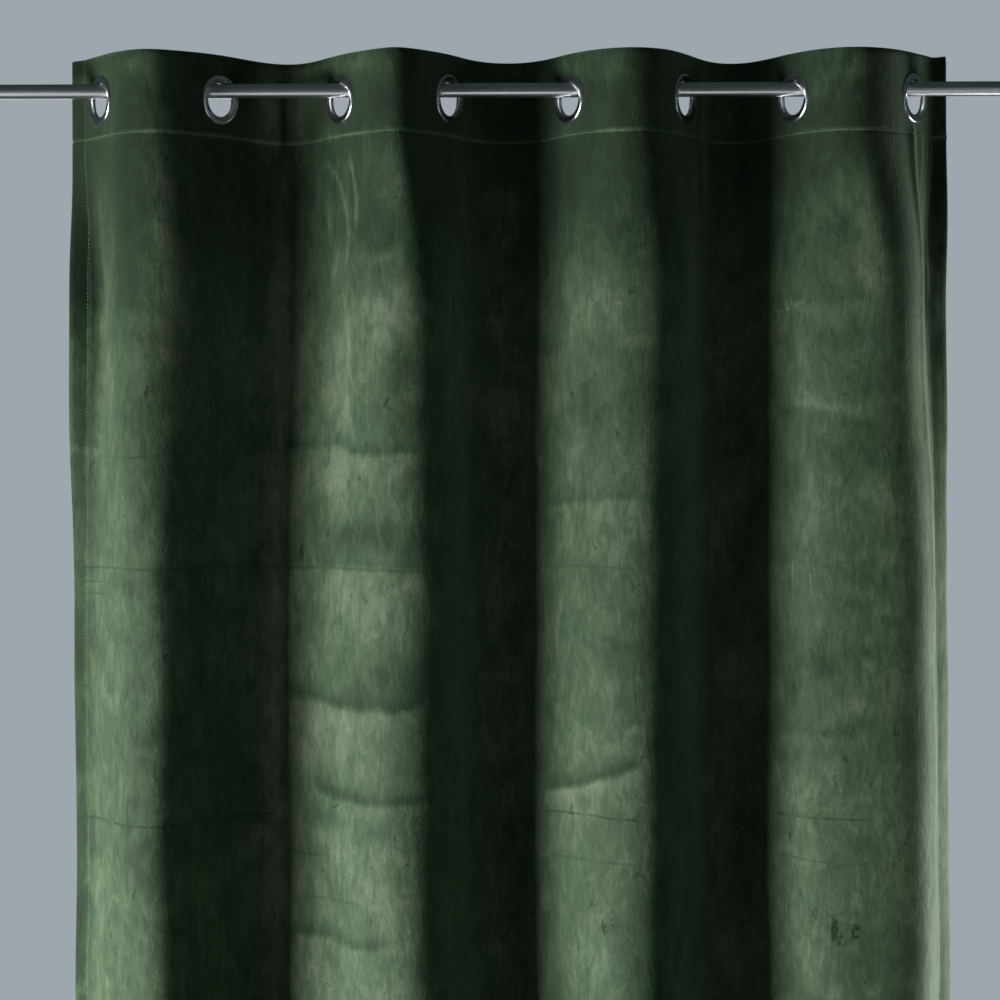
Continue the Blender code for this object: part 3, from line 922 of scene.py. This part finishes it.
# Layers of the velvet's tone, each a noise: its cycles a metre along X, Y and Z come first, and last
# how far it moves the tone.
#    name       X      Y      Z      detail  roughness  distortion  weight
VELVET_LAYERS = (
    ("clouds",    7.0,   7.0,   6.0,  4.0,    0.55,      0.3,        0.30),
    ("patches",  24.0,  24.0,  19.0,  4.0,    0.60,      0.7,        0.56),
    ("wisps",    80.0,  80.0,  34.0,  4.0,    0.58,      0.9,        0.46),
    ("streaks", 210.0, 210.0,  52.0,  3.0,    0.60,      0.4,        0.24),
    ("pile",    560.0, 560.0, 330.0,  2.0,    0.60,      0.0,        0.20),
)
# weight of the nap attribute, which carries painted light and painted shade as well as the pressed nap
NAP_AND_LIGHT_WEIGHT = 0.47
CRUSH_WIDTH = 0.020  # of the thin lines where the pile is pressed, as a share of their noise
CRUSH_WEIGHT = 0.28
CRUSH_BREAKS = (7.0, -4.1)  # scale and offset of the noise that breaks up those lines
MARK_WANDER = 0.45  # how far a fold mark strays, as a share of its reach
LINE_WANDER = 0.08
LINE_HALF_WIDTH = 0.085  # of a fold line, as a share of its reach
LINE_BREAKS = (3.0, -1.0)
SCUFF_STRAY = 0.018  # metres by which a scuff's outline strays
SCUFF_RAGGED = 150.0
HUE_CHOICE = (1.8, -0.38)  # scale and offset of the noise that chooses between the two greens
# Painted tone across a fold mark, from painted shade above its line to painted light below it.
MARK_SHADE_PROFILE = ((0.00, 0.50), (0.22, 0.34), (0.41, 0.05), (0.57, 0.82), (0.78, 0.62), (1.00, 0.50))
# Colours of the pile from where it lies darkest to where it lies palest: green, then olive.
PILE_COLOURS = (
    (0.00, (0.0041, 0.0124, 0.0060), (0.0056, 0.0129, 0.0054)),
    (0.25, (0.0096, 0.0252, 0.0137), (0.0124, 0.0260, 0.0124)),
    (0.50, (0.0300, 0.0580, 0.0319), (0.0365, 0.0575, 0.0296)),
    (0.78, (0.0861, 0.1190, 0.0793), (0.0986, 0.1160, 0.0745)),
    (1.00, (0.1504, 0.1900, 0.1355), (0.1679, 0.1840, 0.1260)),
)


def velvet_tone(nodes):
    """How pale the nap is painted, from 0 to 1, painted light and shade included, and the noise layers
    that make it.
    """
    layers = {}
    tone = 0.5 - sum(row[-1] for row in VELVET_LAYERS) / 2.0
    for name, *stretch, detail, roughness, distortion, weight in VELVET_LAYERS:
        layers[name] = nodes.noise(stretch, detail, roughness, distortion)
        tone = nodes.math("MULTIPLY_ADD", layers[name], weight, tone)
    return nodes.math("MULTIPLY_ADD", nodes.shade("nap_and_painted_light"), NAP_AND_LIGHT_WEIGHT, tone), layers


def fold_mark_shading(nodes, wander):
    """Painted shade and light of the fold marks: darker towards each line from above, palest just
    below.
    """
    gap = nodes.math("ADD", nodes.shade("mark_gap"), nodes.stray(wander, MARK_WANDER))
    place = nodes.math("MULTIPLY_ADD", gap, 0.5, 0.5)
    profile = nodes.ramp(place, MARK_SHADE_PROFILE)
    return nodes.math("MULTIPLY", nodes.math("SUBTRACT", profile, 0.5), nodes.shade("mark_shade_pile"))


def fold_line_shading(nodes, wander, breaks):
    """Painted shade and highlight of the thin fold lines, broken up by a noise."""
    gap = nodes.math("ADD", nodes.shade("line_gap"), nodes.stray(wander, LINE_WANDER))
    line = nodes.tent(nodes.math("ABSOLUTE", gap), LINE_HALF_WIDTH)
    share = nodes.math("MULTIPLY_ADD", breaks, *LINE_BREAKS, clamp=True)
    return nodes.math("MULTIPLY", nodes.math("MULTIPLY", line, share), nodes.shade("line_shade_pile"))


def scuff_marks(nodes, scuffs):
    """Tone of the small scuffs, each a blot with a ragged outline, taller than it is wide."""
    ragged = nodes.noise((SCUFF_RAGGED,) * 3, detail=2.0, roughness=0.5, output="Color")
    strayed = nodes.vector("MULTIPLY_ADD", ragged, (SCUFF_STRAY,) * 3, nodes.place)
    squashed = nodes.vector("MULTIPLY", strayed, (1.0, 1.0, 1.0 / SCUFF_TALLER))
    middle = SCUFF_STRAY / 2.0
    total = 0.0
    for (x, y, z), half_width, pile in scuffs:
        centre = (x + middle, y + middle, (z + middle) / SCUFF_TALLER)
        gap = nodes.vector("DISTANCE", squashed, centre).node.outputs["Value"]
        total = nodes.math("MULTIPLY_ADD", nodes.tent(gap, half_width), pile, total)
    return total


def crush_lines(nodes):
    """Thin wandering lines where the pile was pressed, broken up by a second noise."""
    wander = nodes.noise((30.0, 30.0, 15.0), detail=2.0, roughness=0.5, distortion=0.8)
    off_line = nodes.math("ABSOLUTE", nodes.math("SUBTRACT", wander, 0.5))
    line = nodes.tent(off_line, CRUSH_WIDTH)
    broken = nodes.noise((75.0, 75.0, 48.0), detail=1.0)
    share = nodes.math("MULTIPLY_ADD", broken, *CRUSH_BREAKS, clamp=True)
    return nodes.math("MULTIPLY", line, share)


def velvet_material(scuffs):
    """Dark green pile: its nap lies paler or darker in streaks, clouds and listed marks, many of them
    painted light and painted shade.
    """
    nodes = Nodes("velvet_pile")
    tone, layers = velvet_tone(nodes)
    crushed = crush_lines(nodes)
    tone = nodes.math("MULTIPLY_ADD", crushed, -CRUSH_WEIGHT, tone)
    tone = nodes.math("ADD", tone, fold_mark_shading(nodes, layers["patches"]))
    tone = nodes.math("ADD", tone, fold_line_shading(nodes, layers["patches"], layers["wisps"]))
    tone = nodes.math("ADD", tone, scuff_marks(nodes, scuffs))
    hue = nodes.noise((17.0, 17.0, 12.0), detail=4.0, roughness=0.6)
    choice = nodes.math("MULTIPLY_ADD", hue, *HUE_CHOICE, clamp=True)
    soft = nodes.bump(layers["wisps"], 0.0008)
    pressed = nodes.bump(crushed, -0.0002, under=soft)
    green, olive = (nodes.ramp(tone, [(row[0], row[side]) for row in PILE_COLOURS]) for side in (1, 2))
    return nodes.dress(
        nodes.mix(choice, green, olive),
        normal=nodes.bump(layers["pile"], 0.0003, under=pressed),
        Roughness=0.66, Specular_IOR_Level=0.12, Specular_Tint=(1.0, 1.0, 0.80, 1.0),
        Sheen_Weight=0.30, Sheen_Roughness=0.50, Sheen_Tint=(0.66, 0.90, 0.60, 1.0))


def thread_material():
    """Polyester thread, a little paler than the pile it is sewn into."""
    nodes = Nodes("sewing_thread")
    twist = nodes.noise((1500.0,) * 3, detail=2.0)
    return nodes.dress(nodes.ramp(twist, ((0.3, (0.085, 0.13, 0.08)), (0.7, (0.17, 0.225, 0.155)))),
                       normal=nodes.bump(twist, 0.0002),
                       Roughness=0.55, Sheen_Weight=0.3, Sheen_Roughness=0.4)


def eyelet_material():
    """Satin nickel plate with slightly uneven polish."""
    nodes = Nodes("satin_nickel")
    polish = nodes.noise((160.0,) * 3, detail=4.0)
    return nodes.dress(nodes.ramp(polish, ((0.3, (0.54, 0.545, 0.575)), (0.7, (0.63, 0.63, 0.655)))),
                       nodes.ramp(polish, ((0.3, 0.20), (0.7, 0.25))), nodes.bump(polish, 0.00001),
                       Metallic=1.0)


def rod_material():
    """Satin steel, brushed along its length."""
    nodes = Nodes("brushed_steel")
    brushing = nodes.noise((9.0, 1900.0, 1900.0), detail=3.0)
    polish = nodes.noise((14.0, 60.0, 60.0), detail=3.0)
    return nodes.dress(nodes.ramp(polish, ((0.3, (0.49, 0.495, 0.53)), (0.7, (0.58, 0.585, 0.62)))),
                       nodes.ramp(brushing, ((0.25, 0.24), (0.75, 0.38))),
                       nodes.bump(brushing, 0.00003), Metallic=1.0)


def floor_material():
    nodes = Nodes("pale_floor")
    mottle = nodes.noise((1.5,) * 3, detail=3.0)
    return nodes.dress(nodes.ramp(mottle, ((0.3, (0.60, 0.61, 0.62)), (0.7, (0.66, 0.67, 0.68)))),
                       Roughness=0.8)


# ---- room, lights and camera ----

FLOOR_BELOW = 2440.0
FLOOR_RADIUS = 4000.0
FLOOR_STEPS = 96
BACKDROP_COLOUR = (0.34, 0.385, 0.42)
SOFT_AMBIENT = (0.034, 0.060, 0.051)
GLOSS_AMBIENT = (0.036, 0.054, 0.050)
# Each light: compass angle from the camera round to it, how far its middle is below the rod, how far
# off it is, its width and height, its watts, its spread, and how far below the rod it aims.
#    name     angle  below away  width tall   power spread aims below
LIGHTS = (
    ("key",   -63.3, 1450, 2300,  920, 2000,  79.0, 120, 1450),
    ("side",  110.0, 1450,  700,  500, 2000,  32.0, 180, 1450),
    ("back",  200.0,  900, 4000, 2600, 2600,  20.0, 120, 1100),
    ("card",    0.0, 2300, 1900, 2400, 1400,   1.3,  60,    0),
    ("glint",  38.0,  600, 2500, 1200, 1500,   2.4, 180,  100),
    ("wash",    0.0, -900,  300, 5200, 5200, 300.0, 180, 2440),
)
ON_FLOOR_ONLY = ("wash",)
LIGHT_AT_X = {"side": 480.0}  # the other lights turn about the rod's middle


def build_floor():
    builder = bmesh.new()
    bmesh.ops.create_circle(builder, cap_ends=True, segments=FLOOR_STEPS, radius=FLOOR_RADIUS * MM)
    floor = linked("floor", filled_mesh("floor", builder))
    floor.data.materials.append(floor_material())
    floor.location = (0.0, 0.0, -FLOOR_BELOW * MM)
    floor.visible_diffuse = False
    floor.visible_glossy = False
    return floor


def build_world():
    """A plain pale backdrop. What lights the cloth, and what the metal mirrors, is dimmer."""
    world = bpy.data.worlds.new("studio")
    world.use_nodes = True
    tree = world.node_tree
    path = tree.nodes.new("ShaderNodeLightPath")
    shown = tree.nodes["Background"]
    shown.inputs["Color"].default_value = (*SOFT_AMBIENT, 1.0)
    for ray, colour in (("Is Glossy Ray", GLOSS_AMBIENT), ("Is Camera Ray", BACKDROP_COLOUR)):
        other = tree.nodes.new("ShaderNodeBackground")
        other.inputs["Color"].default_value = (*colour, 1.0)
        choice = tree.nodes.new("ShaderNodeMixShader")
        tree.links.new(path.outputs[ray], choice.inputs[0])
        tree.links.new(shown.outputs[0], choice.inputs[1])
        tree.links.new(other.outputs[0], choice.inputs[2])
        shown = choice
    tree.links.new(shown.outputs[0], tree.nodes["World Output"].inputs["Surface"])
    bpy.context.scene.world = world


def floor_group(floor, name, link_state):
    """A collection that lets a light reach only the floor, or all but the floor."""
    group = bpy.data.collections.new(name)
    group.objects.link(floor)
    group.collection_objects[0].light_linking.link_state = link_state
    return group


def build_lights(floor):
    """Panels light the curtain; the floor has an even light of its own."""
    only_floor = floor_group(floor, "only_floor", "INCLUDE")
    not_floor = floor_group(floor, "not_floor", "EXCLUDE")
    for name, angle, below, away, width, tall, power, spread, aim_below in LIGHTS:
        data = bpy.data.lights.new(name, "AREA")
        data.shape = "RECTANGLE"
        data.size = width * MM
        data.size_y = tall * MM
        data.energy = power
        data.spread = math.radians(spread)
        lamp = linked(name, data)
        turn = math.radians(angle)
        aim = Vector((LIGHT_AT_X.get(name, 0.0), 0.0, -aim_below)) * MM
        offset = Vector((math.sin(turn) * away, -math.cos(turn) * away, aim_below - below)) * MM
        lamp.location = aim + offset
        lamp.rotation_euler = (-offset).to_track_quat("-Z", "Y").to_euler()
        lamp.visible_camera = False
        lamp.visible_glossy = name not in ON_FLOOR_ONLY
        lamp.light_linking.receiver_collection = only_floor if name in ON_FLOOR_ONLY else not_floor


def build_camera():
    data = bpy.data.cameras.new("camera")
    data.sensor_width = SENSOR
    data.lens = LENS
    camera = linked("camera", data)
    camera.location = (0.0, -CAMERA_BACK * MM, -CAMERA_BELOW * MM)
    camera.rotation_euler = (math.radians(90.0), math.radians(CAMERA_ROLL), 0.0)
    bpy.context.scene.camera = camera


def main():
    build_camera()
    build_world()
    build_lights(build_floor())
    cloth = Cloth()
    velvet = build_velvet(cloth, velvet_material(cloth.scuffs()))
    stitches = build_stitches(cloth, thread_material())
    eyelets = build_eyelets(eyelet_material())
    rod = build_rod(rod_material())
    bpy.context.scene.view_settings.view_transform = "Standard"


main()
